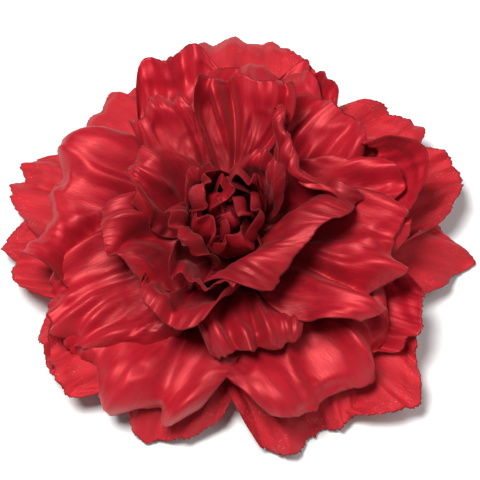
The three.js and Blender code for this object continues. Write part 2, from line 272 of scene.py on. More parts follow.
NEST_REACH = 11.0     # mm, how far in front of a set petal a new one may start
NEST_GAP = 0.7        # mm, left between two petals
NEST_SWEEPS = 3
NEST_STEP = 3         # every third row and column of a petal is tested
OVER_CLIP = 14.0      # mm, the lowest cloth over the felt, out to CLIP_REACH from the axis
OVER_TABLE = 0.8      # mm, the lowest cloth past TABLE_REACH
CLIP_REACH, TABLE_REACH = 30, 54
TABLE_SOFT = 1.5      # mm over the lowest height within which cloth is eased up
PLACED = []           # petals already set: search tree, lowest and highest corner


def blur(field):
    """Each point of a field as the mean of itself and its neighbours."""
    padded = np.pad(field, 1, mode="edge")
    rows, cols = field.shape
    return sum(padded[i:i + rows, j:j + cols] for i in range(3) for j in range(3)) / 9


def spread(field, times):
    """Widens and smooths a field on the petal's grid."""
    for _ in range(times):
        field = np.maximum(field, blur(field))
    return blur(blur(field))


def rest_height(radius):
    """The lowest that cloth may hang: over the felt and the clip, then near the table."""
    share = smooth((radius - CLIP_REACH) / (TABLE_REACH - CLIP_REACH))
    return OVER_CLIP - (OVER_CLIP - OVER_TABLE) * share


def refine(coarse, rows, cols):
    """Values for every point of a petal from those at every NEST_STEP-th row and column."""
    row = np.minimum(np.arange(rows) / NEST_STEP, coarse.shape[0] - 1.001)
    col = np.minimum(np.arange(cols) / NEST_STEP, coarse.shape[1] - 1.001)
    i, j = row.astype(int), col.astype(int)
    fi, fj = (row - i)[:, None], (col - j)[None, :]
    return (coarse[np.ix_(i, j)] * (1 - fi) * (1 - fj) + coarse[np.ix_(i + 1, j)] * fi * (1 - fj)
            + coarse[np.ix_(i, j + 1)] * (1 - fi) * fj + coarse[np.ix_(i + 1, j + 1)] * fi * fj)


def nest(points, back):
    """Moves a petal back, along its own set, where it passes in front of petals already set."""
    rows, cols = points.shape[:2]
    for _ in range(NEST_SWEEPS):
        coarse, away = points[::NEST_STEP, ::NEST_STEP], back[::NEST_STEP, ::NEST_STEP]
        push = np.zeros(coarse.shape[:2])
        low, high = coarse.min(axis=(0, 1)) - 12, coarse.max(axis=(0, 1)) + 12
        near = [tree for tree, floor, top in PLACED if np.all(floor < high) and np.all(top > low)]
        for i in range(2, coarse.shape[0]):
            for j in range(coarse.shape[1]):
                way = Vector(away[i, j])
                origin = Vector(coarse[i, j]) + way * NEST_REACH
                for tree in near:
                    depth = tree.ray_cast(origin, -way, NEST_REACH + NEST_GAP)[3]
                    if depth is not None:
                        push[i, j] = max(push[i, j], NEST_REACH + NEST_GAP - depth)
        if push.max() < 0.05:
            break
        reach = np.hypot(points[..., 0], points[..., 1])
        fine = refine(spread(push, 2), rows, cols) * smooth((reach - 5) / 7)
        points = points + back * fine[..., None]
    floor = rest_height(np.hypot(points[..., 0], points[..., 1]))
    under = points[..., 2] - floor
    eased = TABLE_SOFT * np.exp(np.minimum(under - TABLE_SOFT, 0) / TABLE_SOFT)
    points[..., 2] = floor + np.where(under > TABLE_SOFT, under, eased)
    return points


def grid_faces(rows, cols):
    """The four-sided faces of a grid of points."""
    index = np.arange(rows * cols).reshape(rows, cols)
    corners = [index[:-1, :-1], index[1:, :-1], index[1:, 1:], index[:-1, 1:]]
    return np.stack(corners, axis=-1).reshape(-1, 4).tolist()


def grid_mesh(name, points, flat, to_rim):
    """A mesh from a grid of points in mm, its flat coordinates as UV and its rim as an attribute."""
    mesh = bpy.data.meshes.new(name)
    mesh.from_pydata((points.reshape(-1, 3) * MM).tolist(), [], grid_faces(*points.shape[:2]))
    uv = mesh.uv_layers.new(name="cut")
    corner = np.zeros(len(mesh.loops), dtype=np.int32)
    mesh.loops.foreach_get("vertex_index", corner)
    uv.data.foreach_set("uv", (flat.reshape(-1, 2)[corner] * UV_PER_MM).astype(np.float32).ravel())
    rim = mesh.attributes.new("rim", "FLOAT", "POINT")
    rim.data.foreach_set("value", to_rim.reshape(-1).astype(np.float32))
    mesh.shade_smooth()
    mesh.validate()
    return mesh


def link(name, mesh):
    obj = bpy.data.objects.new(name, mesh)
    bpy.context.scene.collection.objects.link(obj)
    return obj


def set_petal(points):
    """Notes a petal as set, so that the next ones go behind it."""
    coarse = points[::2, ::2]
    tree = BVHTree.FromPolygons(coarse.reshape(-1, 3).tolist(), grid_faces(*coarse.shape[:2]))
    PLACED.append((tree, coarse.min(axis=(0, 1)), coarse.max(axis=(0, 1))))


# What sets one petal finish apart from another: the record's slot, the setting that holds its
# colour, threads in the weave, range of roughness, shine and depth of the weave.
FINISHES = {
    "satin": dict(slot="petal_satin", colour="satin_colour", threads=300.0, rough=(0.44, 0.56),
                  metallic=0.17, sheen=0.14, relief=0.4),
    "matt": dict(slot="petal_matt_satin", colour="matt_colour", threads=420.0, rough=(0.62, 0.74),
                 metallic=0.08, sheen=0.1, relief=0.5),
    "deep": dict(slot="bud_satin", colour="bud_colour", threads=300.0, rough=(0.44, 0.56),
                 metallic=0.12, sheen=0.03, relief=0.4),
}


def make_petal(petal, seed, fine):
    """One petal as a sheet of cloth with a little thickness, in place of its plain solid."""
    points, back, flat, to_rim, spine, area = petal_grid(petal, seed, *fine)
    points = nest(points, back)
    set_petal(points)
    obj = link("cloth_" + petal.name, grid_mesh("cloth_" + petal.name, points, flat, to_rim))
    paint(obj, petal_material("petal " + petal.finish, petal.finish))
    wall = obj.modifiers.new("thickness", "SOLIDIFY")
    wall.thickness = bpy.context.scene.peony_flower.cloth_thickness
    wall.offset = 0
    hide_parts(petal.name)
    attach(obj, FLOWER_BODY)
    cut = (petal.width * MM, spine * MM)
    area = min(area * MM * MM, cut[0] * cut[1])
    return obj


# ---- The petals, from the back of the flower to the bud --------------------------------------

def whorl(name, shared, *petals):
    """The petals of one whorl in turn, each with what the whorl shares and what is its own."""
    return tuple(Petal(f"{name}_{i + 1}", **{**shared, **own}) for i, own in enumerate(petals))


BACK = dict(finish="matt", foot=15.2, slope=-30, foot_pull=24, tip_pull=26, ruffle=2.0, waves=2.6,
            pleat=0.4, serration=0.32, crease=0.3)
REAR = dict(finish="matt", foot=17.2, slope=-12, foot_pull=24, tip_pull=24, ruffle=2.0, waves=2.6,
            serration=0.32, crease=0.3)
REAR_SATIN = dict(finish="satin", waves=2.0, serration=0.12)
WIDE = dict(foot=19.2, tip_pull=22, crease=0.45, ruffle=2.0)
CUP = dict(foot=21.2, foot_pull=18, tip_pull=18)
RUFFLE = dict(foot=23.2, foot_pull=15, tip_pull=16, serration=0.2)
INNER = dict(foot=25.2, foot_pull=9, tip_pull=16, serration=0.2, ridge=0.8, welt=0.3)
BUD = dict(finish="deep", foot=27.2, slope=92, foot_pull=5, tip_pull=14, cup=50, width=21, left=30,
           reach=9.5, curl=34, ridges=3, ridge=0.5, welt=0, ruffle=2.2, waves=2.4, twist=24,
           crumple=1.5, crease=0.3, crimp=0.2)
HEART = dict(BUD, foot=29.2, slope=94, foot_pull=2.6, tip_pull=9, width=17, left=60, reach=4.8,
             curl=60, ridges=2, ridge=0.4, ruffle=2.0, twist=40, serration=0.1)

BACK_PETALS = whorl(
    "back_petal", BACK,
    dict(turn=2, reach=74, tip=5, width=42, cup=10, round=0.42, notch=-0.05, scallop=1.0, ruffle=1.6,
         pleat=0.5, pleats=5, folds=((0, 0.1, 0.13, 2.0),), curl=-14),
    dict(turn=38, reach=75, tip=12, width=44, cup=14, scallop=1.6, curl=10),
    dict(turn=86, reach=76.5, tip=19, width=60, cup=18, round=0.26, scallop=0.3, ruffle=0.9,
         pleat=0.3, curl=-10, curl_from=0.6, folds=((0, 0.25, 0.2, 1.6), (0, -0.35, 0.2, 1.6))),
    dict(turn=131, reach=71, tip=13, width=48, cup=12, scallop=1.8, pleat=0.5, pleats=7, curl=-18,
         crimp=0.35),
    dict(turn=177, reach=68, tip=5, width=42, cup=18, round=0.14, scallop=1.4, pleat=0.5, curl=16,
         curl_from=0.6, crimp=0.35),
    dict(turn=212, reach=66, tip=6, width=44, cup=14, scallop=1.4, curl=14),
    dict(turn=249, reach=64, tip=3, width=38, cup=12, round=0.2, scallop=1.6, ruffle=1.2, curl=-10,
         waist=1.8, crimp=0.35),
    dict(turn=318, reach=73, tip=4, width=44, cup=20, round=0.22, scallop=1.2, curl=24,
         curl_from=0.6),
)
REAR_PETALS = whorl(
    "rear_petal", REAR,
    dict(turn=21, reach=80, tip=12, width=40, cup=16, scallop=1.2, pleat=0.4, curl=10),
    dict(REAR_SATIN, turn=64, reach=69, tip=21, width=36, cup=26, notch=0.08, notch_at=0.1, curl=45,
         curl_from=0.68, folds=((0, 0.0, 0.14, -3.0), (0, -0.5, 0.14, 2.4))),
    dict(REAR_SATIN, turn=107, reach=70, tip=21, width=44, cup=30, round=0.4, left=10, right=20,
         ruffle=1.6, curl=34, curl_from=0.6, folds=((0, 0.2, 0.14, 3.0), (0, -0.4, 0.14, 2.6))),
    dict(turn=157, reach=75, tip=12, width=42, cup=16, scallop=1.8, pleat=0.5, curl=-20, crimp=0.35),
    dict(turn=217, reach=67, tip=9, width=44, cup=20, scallop=1.4, pleat=0.4, curl=20,
         curl_from=0.64),
    dict(turn=295, reach=66, tip=5, width=40, cup=8, round=0.12, scallop=0.8, ruffle=1.6, pleat=0.6,
         pleats=7, curl=-20, waist=2.0, crimp=0.35),
    dict(finish="satin", turn=334, reach=66, tip=13, width=42, cup=30, scallop=1.4, left=30, right=20,
         ruffle=1.8, pleat=0.3, curl=40, curl_from=0.6, crimp=0.4),
)
WIDE_PETALS = whorl(
    "wide_petal", WIDE,
    dict(turn=22, reach=70, tip=33, width=60, slope=20, cup=46, left=20, right=70, curl=76,
         curl_from=0.6, waves=2.4,
         folds=((0.1, 0.3, 0.16, 3.6), (0, -0.2, 0.14, -2.4), (0, -0.7, 0.12, 2.0))),
    dict(turn=76, reach=62, tip=31, width=50, slope=14, cup=24, left=-30, right=-20, curl=-30,
         ruffle=2.6, waves=2.6, pleat=0.5, folds=((0, -0.3, 0.12, 3.2), (0, 0.4, 0.1, 2.4))),
    dict(turn=163, reach=61, tip=31, width=60, slope=4, cup=36, left=-95, right=-10, curl=-50,
         curl_from=0.74, ruffle=1.8, round=0.16,
         folds=((0, -0.5, 0.11, 3.4), (0, 0.0, 0.2, -3.6), (0, 0.5, 0.13, 2.8))),
    dict(turn=234, reach=64, tip=18, width=54, slope=-12, cup=26, left=-20, right=-40, curl=-62,
         curl_from=0.74, waves=2.0, round=0.2,
         folds=((0, 0.15, 0.13, 3.8), (0, 0.6, 0.12, -2.6), (0, -0.5, 0.14, 2.6))),
    dict(turn=308, reach=61, tip=20, width=58, slope=-10, cup=26, left=-24, right=-50, curl=-46,
         ruffle=2.2, round=0.2,
         folds=((-0.1, 0.4, 0.13, 4.8), (0, -0.05, 0.16, -3.0), (0, -0.5, 0.12, 2.6))),
)
CUP_PETALS = whorl(
    "cup_petal", CUP,
    dict(turn=9, reach=56, tip=38, width=44, slope=34, cup=30, left=-30, right=20, notch=0.12,
         curl=-36, ruffle=2.6, waves=2.6,
         folds=((0, 0.0, 0.1, -3.6), (0, 0.45, 0.12, 2.6), (0, -0.45, 0.12, 2.6))),
    dict(turn=46, reach=52, tip=42, width=40, slope=42, cup=36, left=30, right=-50, curl=-40,
         ruffle=2.8, waves=2.8, pleat=0.7, pleats=5,
         folds=((0, -0.2, 0.1, 3.4), (0, 0.35, 0.1, 3.0))),
    dict(turn=121, reach=45, tip=44, width=21, slope=38, cup=30, left=10, right=-20, shoulder=0.78,
         curl=-60, curl_from=0.8, round=0.06, ruffle=1.0, waves=1.4, waist=1.3,
         folds=((0, 0.1, 0.3, 2.8),)),
    dict(turn=204, reach=60, tip=22, width=46, cup=26, left=-30, right=-40, curl=-44, curl_from=0.72,
         ruffle=2.2, waves=2.8, crimp=0.5,
         folds=((0, 0.2, 0.12, 3.4), (0, -0.35, 0.12, 2.6), (0, 0.7, 0.1, 2.4))),
    dict(turn=288, reach=40, tip=34, width=40, slope=20, cup=34, left=-30, right=-30, curl=-80,
         curl_from=0.72, ruffle=2.4, waves=3.0, pleat=0.5, crimp=0.6,
         folds=((0, 0.3, 0.12, 3.0), (0, -0.3, 0.12, 2.4))),
)
RUFFLE_PETALS = whorl(
    "ruffle_petal", RUFFLE,
    dict(turn=13, reach=21, tip=52, width=34, slope=88, cup=-10, sway=19, right=-20, curl=-120,
         curl_from=0.86, ruffle=2.0, waves=3.0, crimp=0.6, waist=1.3, round=0.05),
    dict(turn=85, reach=46, tip=47, width=38, slope=50, cup=24, left=30, right=60, round=0.1,
         waist=3.0, neck=0.12, shoulder=0.92, ruffle=1.8, waves=3.2, ridges=4, curl=-30,
         curl_from=0.85,
         folds=((0, 0.12, 0.16, -6.0), (0, 0.5, 0.12, 2.6), (0, -0.3, 0.14, 2.8))),
    dict(turn=146, reach=31, tip=49, width=28, slope=66, cup=34, left=-50, right=-30, curl=-80,
         ruffle=1.8, waves=2.0, waist=1.4, folds=((0, 0.2, 0.16, 3.0),), crimp=0.4),
    dict(turn=186, reach=38, tip=42, width=38, slope=36, cup=30, left=-70, right=-30, curl=-50,
         curl_from=0.72, ruffle=1.4, waves=1.6, round=0.5,
         folds=((0, -0.1, 0.16, 5.0), (0, 0.45, 0.14, -3.6))),
    dict(turn=239, reach=37, tip=40, width=40, slope=46, cup=72, left=20, right=20, curl=-50,
         curl_from=0.8, ruffle=2.2, waves=1.6, pleat=0.4, pleats=4, waist=1.4, crimp=0.5,
         folds=((0, -0.35, 0.16, 3.4), (0, 0.15, 0.2, -2.0))),
    dict(turn=343, reach=50, tip=39, width=46, slope=26, cup=30, left=-60, right=-30, curl=-64,
         ruffle=3.0, waves=2.0, round=0.06,
         folds=((0, -0.1, 0.13, 4.8), (0, -0.5, 0.14, -4.0), (0, 0.4, 0.12, 3.4))),
)
INNER_PETALS = whorl(
    "inner_petal", INNER,
    dict(turn=312, reach=18, tip=52, width=52, slope=66, cup=10, sway=17, round=0.08, curl=-110,
         curl_from=0.48, ruffle=2.2, folds=((0, 0.3, 0.12, 1.8),), crimp=0.35),
    dict(turn=50, reach=17, tip=55, width=20, slope=84, cup=50, right=-50, left=-50, curl=-50,
         curl_from=0.78, ruffle=1.8, waves=2.4, pleat=1.4, pleats=3, waist=1.4),
    dict(turn=126, reach=13, tip=51, width=18, slope=86, cup=50, curl=-30, ruffle=2.0, waves=2.0,
         crumple=1.2, twist=-20),
    dict(turn=204, reach=15, tip=50, width=24, slope=78, cup=45, curl=-50, curl_from=0.6, ruffle=2.2,
         crumple=1.2),
    dict(turn=250, reach=25, tip=45, width=30, slope=66, cup=66, curl=-40, curl_from=0.76, round=0.2,
         ruffle=2.2, waves=2.4, pleat=0.6, pleats=3, folds=((0, 0.1, 0.2, 3.0),), crimp=0.5),
)
BUD_PETALS = whorl("bud_outer_petal", BUD, *(
    dict(turn=72 * i, tip=tip) for i, tip in enumerate((52, 57, 56, 49, 48))))
HEART_PETALS = whorl("bud_inner_petal", HEART, *(
    dict(turn=25 + 90 * i, tip=tip) for i, tip in enumerate((54, 57, 53, 50))))


# ---- Shared finishes ------------------------------------------------------------------------

def feed(tree, sockets, values):
    """Gives sockets their values, or the outputs that feed them."""
    for key, value in values.items():
        if isinstance(value, bpy.types.NodeSocket):
            tree.links.new(value, sockets[key])
        else:
            sockets[key].default_value = value


def add(tree, kind, inputs=None, **settings):
    """A new node in the tree. Inputs are values or the outputs that feed them."""
    node = tree.nodes.new(kind)
    for key, value in settings.items():
        setattr(node, key, value)
    feed(tree, node.inputs, inputs or {})
    return node


def effect(name, inputs, outputs):
    """A shader node group: the group if it is new, its input node and its output node."""
    tree = bpy.data.node_groups.new(name, "ShaderNodeTree")
    for title, kind, value in inputs:
        socket = tree.interface.new_socket(title, in_out="INPUT", socket_type="NodeSocket" + kind)
        if value is not None:
            socket.default_value = value
    for title, kind in outputs:
        tree.interface.new_socket(title, in_out="OUTPUT", socket_type="NodeSocket" + kind)
    return tree, tree.nodes.new("NodeGroupInput").outputs, tree.nodes.new("NodeGroupOutput").inputs


def combine(tree, operation, first, second):
    """Two values joined by a sum, a product or a quotient."""
    return add(tree, "ShaderNodeMath", {0: first, 1: second}, operation=operation).outputs[0]


def clouds(tree, place, scale, detail=2.0, roughness=0.5, distortion=0.0):
    """A value that drifts over the surface."""
    return add(tree, "ShaderNodeTexNoise", {
        "Vector": place, "Scale": scale, "Detail": detail, "Roughness": roughness,
        "Distortion": distortion}).outputs["Fac"]


def stretch(tree, place, scale):
    return add(tree, "ShaderNodeMapping", {"Vector": place, "Scale": scale}).outputs[0]


def remap(tree, value, low, high, to_low, to_high):
    return add(tree, "ShaderNodeMapRange", {
        "Value": value, "From Min": low, "From Max": high, "To Min": to_low,
        "To Max": to_high}).outputs["Result"]


def tint(tree, factor, first, second):
    return add(tree, "ShaderNodeMix", {"Factor": factor, "A": first, "B": second},
               data_type="RGBA").outputs["Result"]


def ramp(tree, factor, colours):
    """Colours at even steps of a factor."""
    node = add(tree, "ShaderNodeValToRGB", {"Fac": factor})
    stops = node.color_ramp.elements
    stops[0].color, stops[1].color = colours[0], colours[-1]
    for i, colour in enumerate(colours[1:-1]):
        stops.new((i + 1) / (len(colours) - 1)).color = colour
    return node.outputs["Color"]


def satin_weave():
    """Long floats of a satin weave that run from foot to rim, as a height and a tone."""
    tree, given, made = effect(
        "satin weave", [("Cut", "Vector", None), ("Threads", "Float", 300.0)],
        [("Height", "Float"), ("Tone", "Float")])
    floats = stretch(tree, given["Cut"], (1.0, 0.14, 1.0))
    threads = clouds(tree, floats, given["Threads"], 3.0)
    slubs = clouds(tree, floats, 60.0, 5.0, 0.65)
    streaks = combine(tree, "MULTIPLY", slubs, 1.6)
    feed(tree, made, {"Height": combine(tree, "ADD", threads, streaks), "Tone": slubs})
    return tree


def petal_dye_and_shade():
    """Colour of a petal: painted shade that deepens toward the foot, dye mottled over the petal and
    darker along the heat-cut rim.
    """
    tree, given, made = effect(
        "petal dye",
        [("Cut", "Vector", None), ("Rim", "Float", None), ("Tone", "Float", 0.5),
         ("Deep", "Color", (0.2, 0, 0, 1)), ("Plain", "Color", (0.5, 0, 0, 1)),
         ("Pale", "Color", (0.6, 0.1, 0.1, 1)), ("Rim width", "Float", 0.6)],
        [("Colour", "Color"), ("Rim mask", "Float")])
    along = add(tree, "ShaderNodeSeparateXYZ", {0: given["Cut"]}).outputs["Y"]
    # Painted shade: within 50 mm of the foot the colour darkens toward the foot, deep in the flower.
    base = tint(tree, remap(tree, along, 0.10, 0.50, 1.0, 0.0), given["Plain"], given["Deep"])
    cloud = clouds(tree, given["Cut"], 9.0, 4.0)
    worn = tint(tree, remap(tree, cloud, 0.42, 0.72, 0.0, 0.5), base, given["Pale"])
    threaded = tint(tree, remap(tree, given["Tone"], 0.35, 0.65, 0.30, 0.0), worn, given["Deep"])
    fray = combine(tree, "MULTIPLY", clouds(tree, given["Cut"], 90.0), given["Rim width"])
    inside = combine(tree, "DIVIDE", given["Rim"], combine(tree, "MULTIPLY", fray, 2.0))
    mask = remap(tree, inside, 0.35, 1.0, 0.75, 0.0)
    feed(tree, made, {"Colour": tint(tree, mask, threaded, given["Deep"]), "Rim mask": mask})
    return tree


def painted_rim_glints():
    """Fine pale specks painted on as glints, thickest near the rim, as a mask."""
    tree, given, made = effect(
        "rim glitter", [("Cut", "Vector", None), ("Rim", "Float", None), ("Reach", "Float", 16.0)],
        [("Mask", "Float")])
    cells = add(tree, "ShaderNodeTexVoronoi", {"Vector": given["Cut"], "Scale": 190.0})
    dots = remap(tree, cells.outputs["Distance"], 0.24, 0.12, 0.0, 1.0)
    pick = add(tree, "ShaderNodeSeparateColor", {0: cells.outputs["Color"]}).outputs[0]
    chosen = combine(tree, "MULTIPLY", dots, remap(tree, pick, 0.55, 0.62, 0.0, 1.0))
    near = combine(tree, "DIVIDE", given["Rim"], given["Reach"])
    drift = remap(tree, clouds(tree, given["Cut"], 14.0), 0.4, 0.65, 0.0, 1.0)
    band = combine(tree, "MULTIPLY", remap(tree, near, 0.1, 1.0, 1.0, 0.0), drift)
    feed(tree, made, {"Mask": combine(tree, "MULTIPLY", chosen, band)})
    return tree


def matted_fibres():
    """Tangled short fibres, as a height and a tone."""
    tree, given, made = effect(
        "matted fibres", [("Place", "Vector", None), ("Fineness", "Float", 1200.0)],
        [("Height", "Float"), ("Tone", "Float")])
    tangle = clouds(tree, given["Place"], given["Fineness"], 6.0, 0.7, 2.5)
    both = combine(tree, "ADD", tangle, clouds(tree, given["Place"], 240.0, 3.0))
    feed(tree, made, {"Height": tangle, "Tone": remap(tree, both, 0.8, 1.25, 0.0, 1.0)})
    return tree


def handled_surface():
    """Drawing lines and handling marks of a small pressed or moulded part."""
    tree, given, made = effect(
        "handled surface", [("Place", "Vector", None), ("Lines", "Float", 2600.0)],
        [("Height", "Float"), ("Marks", "Float"), ("Edge", "Float")])
    drawn = stretch(tree, given["Place"], (0.05, 1.0, 1.0))
    marks = clouds(tree, given["Place"], 260.0, 5.0, 0.6)
    sharp = add(tree, "ShaderNodeNewGeometry").outputs["Pointiness"]
    feed(tree, made, {
        "Height": clouds(tree, drawn, given["Lines"], 3.0),
        "Marks": remap(tree, marks, 0.35, 0.7, 0.0, 1.0),
        "Edge": remap(tree, sharp, 0.51, 0.6, 0.0, 1.0)})
    return tree


EFFECTS = {"satin weave": satin_weave, "petal dye": petal_dye_and_shade, "rim glitter": painted_rim_glints,
           "matted fibres": matted_fibres, "handled surface": handled_surface}


def place_effect(tree, name, inputs):
    """An effect's group in a material, with the material's own values; gives its outputs."""
    group = bpy.data.node_groups.get(name) or EFFECTS[name]()
    return add(tree, "ShaderNodeGroup", inputs, node_tree=group).outputs


def new_material(name, roughness):
    """A material, its tree and its shader's inputs."""
    material = bpy.data.materials.new(name)
    material.use_nodes = True
    inputs = material.node_tree.nodes["Principled BSDF"].inputs
    inputs["Roughness"].default_value = roughness
    return material, material.node_tree, inputs


def once(make):
    """Makes each material of a kind when it is first asked for, and gives it again after that."""
    def give(name, *values):
        return bpy.data.materials.get(name) or make(name, *values)
    return give


def piece_place(tree):
    return add(tree, "ShaderNodeTexCoord").outputs["Object"]


def relief(tree, height, strength, distance):
    return add(tree, "ShaderNodeBump", {
        "Height": height, "Strength": strength, "Distance": distance}).outputs["Normal"]


def shade(colour, amount):
    return (*(min(c * amount, 1.0) for c in colour), 1)


@once
def petal_material(name, finish):
    """Satin with its weave, dye and painted shade toward the foot, and painted glints on the matt
    petals.
    """
    made_as = FINISHES[finish]
    colour = getattr(bpy.context.scene.peony_flower, made_as["colour"])
    material, tree, shader = new_material(name, 0.5)
    cut = add(tree, "ShaderNodeUVMap", uv_map="cut").outputs["UV"]
    rim = add(tree, "ShaderNodeAttribute", attribute_name="rim").outputs["Fac"]
    weave = place_effect(tree, "satin weave", {"Cut": cut, "Threads": made_as["threads"]})
    # The deep colour serves the dye at the rim and in the weave, and the painted shade toward the
    # foot.
    dye_and_shade = place_effect(tree, "petal dye", {
        "Cut": cut, "Rim": rim, "Tone": weave["Tone"], "Deep": shade(colour, 0.26),
        "Plain": shade(colour, 1.0), "Pale": shade(colour, 1.3), "Rim width": 0.5})
    colour_with_painted_light = dye_and_shade["Colour"]
    if finish == "matt":
        # Painted glints: pale pink specks tinted into the base colour near the rim.
        painted_glints = place_effect(tree, "rim glitter", {"Cut": cut, "Rim": rim, "Reach": 18.0})
        colour_with_painted_light = tint(tree, painted_glints["Mask"], colour_with_painted_light, (0.95, 0.35, 0.33, 1))
    rough = remap(tree, weave["Tone"], 0.3, 0.7, *made_as["rough"])
    feed(tree, shader, {
        "Base Color": colour_with_painted_light, "Roughness": tint(tree, dye_and_shade["Rim mask"], rough, (0.9, 0.9, 0.9, 1)),
        "Metallic": made_as["metallic"], "Specular Tint": (1.0, 0.34, 0.32, 1),
        "Specular IOR Level": 0.9, "Sheen Weight": made_as["sheen"], "Sheen Roughness": 0.45,
        "Sheen Tint": (1.0, 0.30, 0.29, 1),
        "Normal": relief(tree, weave["Height"], made_as["relief"], 0.00022)})
    return material


@once
def felt_material(name, fineness=1200.0, tone=1.0, sheen=0.4):
    """Matted fibres: the felt cloth, and coarser and duller the wadding."""
    colour = bpy.context.scene.peony_clip.felt_colour
    material, tree, shader = new_material(name, 0.95)
    fibres = place_effect(tree, "matted fibres", {"Place": piece_place(tree), "Fineness": fineness})
    tones = [shade(colour, amount * tone) for amount in (0.45, 1.0, 1.7)]
    feed(tree, shader, {
        "Base Color": ramp(tree, fibres["Tone"], tones), "Sheen Weight": sheen,
        "Sheen Tint": shade(colour, 2.5), "Specular IOR Level": 0.1,
        "Normal": relief(tree, fibres["Height"], 0.7, 0.0004)})
    return material


@once
def thread_material(name):
    """Plied sewing thread, with painted shade in the grooves between the plies."""
    colour = bpy.context.scene.peony_clip.thread_colour
    material, tree, shader = new_material(name, 0.6)
    ply = add(tree, "ShaderNodeTexWave", {
        "Vector": piece_place(tree), "Scale": 900.0, "Distortion": 1.5},
        bands_direction="DIAGONAL").outputs["Fac"]
    feed(tree, shader, {
        # Painted shade: the colour darkens in the troughs of the ply bands, where the grooves lie.
        "Base Color": tint(tree, ply, shade(colour, 0.5), shade(colour, 1.2)),
        "Normal": relief(tree, ply, 0.5, 0.0001)})
    return material


@once
def plastic_material(name):
    """Moulded plastic of the stem and its collars."""
    colour = bpy.context.scene.peony_clip.stem_colour
    material, tree, shader = new_material(name, 0.45)
    surface = place_effect(tree, "handled surface", {"Place": piece_place(tree), "Lines": 900.0})
    marks = surface["Marks"]
    feed(tree, shader, {
        "Base Color": tint(tree, marks, shade(colour, 0.8), shade(colour, 1.25)),
        "Roughness": remap(tree, marks, 0.0, 1.0, 0.36, 0.55),
        "Normal": relief(tree, marks, 0.15, 0.0002)})
    return material


@once
def steel_material(name):
    """Plated steel, duller where it is handled and brighter along its edges."""
    colour = bpy.context.scene.peony_clip.steel_colour
    material, tree, shader = new_material(name, 0.28)
    surface = place_effect(tree, "handled surface", {"Place": piece_place(tree), "Lines": 2600.0})
    dull = tint(tree, surface["Marks"], shade(colour, 0.86), shade(colour, 1.0))
    feed(tree, shader, {
        "Base Color": tint(tree, surface["Edge"], dull, shade(colour, 1.25)),
        "Roughness": remap(tree, surface["Marks"], 0.0, 1.0, 0.22, 0.4), "Metallic": 1.0,
        "Normal": relief(tree, surface["Height"], 0.12, 0.00008)})
    return material


# ---- Settings -------------------------------------------------------------------------------

def length_setting(name, description, default):
    return bpy.props.FloatProperty(
        name=name, description=description, default=default, unit="LENGTH")


def colour_setting(name, description, default):
    return bpy.props.FloatVectorProperty(
        name=name, description=description, subtype="COLOR", size=3, default=default, min=0, max=1)


class PeonyFlowerSettings(bpy.types.PropertyGroup):
    """Sizes and colours of the petals."""
    cloth_thickness: length_setting("Cloth thickness", "Thickness of the satin", 0.00026)
    satin_colour: colour_setting("Satin", "Colour of the wide and inner petals", (0.42, 0.006, 0.018))
    matt_colour: colour_setting("Back petals", "Colour of the matt back petals", (0.46, 0.010, 0.021))
    bud_colour: colour_setting("Bud", "Colour of the bud", (0.42, 0.006, 0.017))


class PeonyClipSettings(bpy.types.PropertyGroup):
    """Sizes and colours of the clip, felt and stem."""
    stitches: bpy.props.IntProperty(
        name="Stitches", description="Number of stitches round the felt", default=46, min=3)
    stitch_length: length_setting("Stitch length", "Length of one stitch", 0.0020)
    thread_thickness: length_setting("Thread", "Thickness of the sewing thread", 0.0004)
    fibres: bpy.props.IntProperty(
        name="Fibres", description="Number of loose fibres on the felt", default=1400, min=0)
    edge_radius: length_setting("Edge radius", "Rounding of the steel's edges", 0.00012)
    felt_colour: colour_setting("Felt", "Colour of the felt", (0.26, 0.008, 0.018))
    thread_colour: colour_setting(
        "Thread colour", "Colour of the sewing thread", (0.40, 0.012, 0.024))
    stem_colour: colour_setting("Stem", "Colour of the stem and its collars", (0.14, 0.006, 0.01))
    steel_colour: colour_setting("Steel", "Colour of the plated steel", (0.62, 0.63, 0.65))


class PeonyStageSettings(bpy.types.PropertyGroup):
    """Floor, light and camera."""
    elevation: bpy.props.FloatProperty(
        name="Elevation", description="Height of the camera above the horizon", subtype="ANGLE",
        default=math.radians(65))
    distance: length_setting("Distance", "Camera to flower", 0.66)
    field: length_setting("Field", "Width of the view at the flower", 0.151)
    floor_colour: colour_setting("Floor", "Colour of the floor", (0.9, 0.9, 0.9))


# ---- Operators ------------------------------------------------------------------------------

class MakePetals:
    """Shared by the petal operators."""
    petals = ()
    fine = (61, 73)      # rows and columns of points in a petal
    first_seed = 0

    def execute(self, context):
        for i, petal in enumerate(self.petals):
            make_petal(petal, self.first_seed + 10 * i, self.fine)
        return {"FINISHED"}


class PEONY_OT_back_petals(MakePetals, bpy.types.Operator):
    """Make the drooping back petals"""
    bl_idname = "peony.back_petals"
    bl_label = "Back petals"
    petals = BACK_PETALS
    fine = (67, 91)
    first_seed = 100


class PEONY_OT_rear_petals(MakePetals, bpy.types.Operator):
    """Make the spread rear petals"""
    bl_idname = "peony.rear_petals"
    bl_label = "Rear petals"
    petals = REAR_PETALS
    fine = (67, 91)
    first_seed = 300


class PEONY_OT_wide_petals(MakePetals, bpy.types.Operator):
    """Make the wide satin petals"""
    bl_idname = "peony.wide_petals"
    bl_label = "Wide petals"
    petals = WIDE_PETALS
    fine = (73, 91)
    first_seed = 500


class PEONY_OT_cup_petals(MakePetals, bpy.types.Operator):
    """Make the cupped satin petals"""
    bl_idname = "peony.cup_petals"
    bl_label = "Cup petals"
    petals = CUP_PETALS
    first_seed = 700


